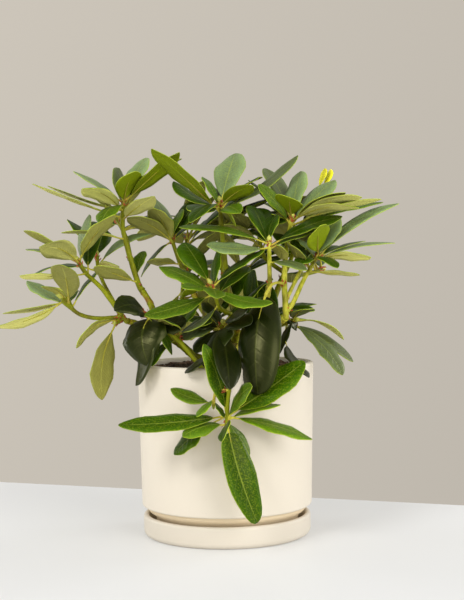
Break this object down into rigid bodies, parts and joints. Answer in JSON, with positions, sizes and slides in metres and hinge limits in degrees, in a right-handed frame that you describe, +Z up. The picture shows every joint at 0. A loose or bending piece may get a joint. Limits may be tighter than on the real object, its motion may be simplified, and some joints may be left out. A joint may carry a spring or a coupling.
{
  "type": "potted rhododendron",
  "caption": "Young evergreen rhododendron with open whorls of long leaves, in a round ceramic planter on a matching saucer.",
  "frame": {"origin": "centre of the saucer's flat underside, on the pot's axis", "axes": "+Z up along the pot's axis, -Y towards the front of the plant, where its low shoot hangs over the rim, +X to the right seen from the front"},
  "size_m": [0.4249, 0.3439, 0.3992],
  "materials": {
    "planter": "matte cream glaze",
    "soil": "damp bark mix",
    "stem": "green young bark",
    "foliage": "leathery satin leaves"
  },
  "bodies": {
    "root": {"saucer": "planter", "pot": "planter", "soil": "soil", "trunk": "stem", "bough_left": "stem", "bough_tall_left": "stem", "bough_centre": "stem", "bough_front": "stem", "bough_right_front": "stem", "bough_right": "stem", "bough_low_right": "stem", "bough_over_rim": "stem", "bough_back_left": "stem", "bough_back": "stem", "bough_back_right": "stem", "foliage_tall_left": "foliage", "foliage_far_left": "foliage", "foliage_low_left": "foliage", "foliage_top": "foliage", "foliage_front": "foliage", "foliage_right_front": "foliage", "foliage_right": "foliage", "foliage_low_right": "foliage", "foliage_low_centre": "foliage", "foliage_over_pot": "foliage", "foliage_back_left": "foliage", "foliage_back": "foliage", "foliage_back_right": "foliage", "foliage_low_back": "foliage"}
  },
  "joints": []
}
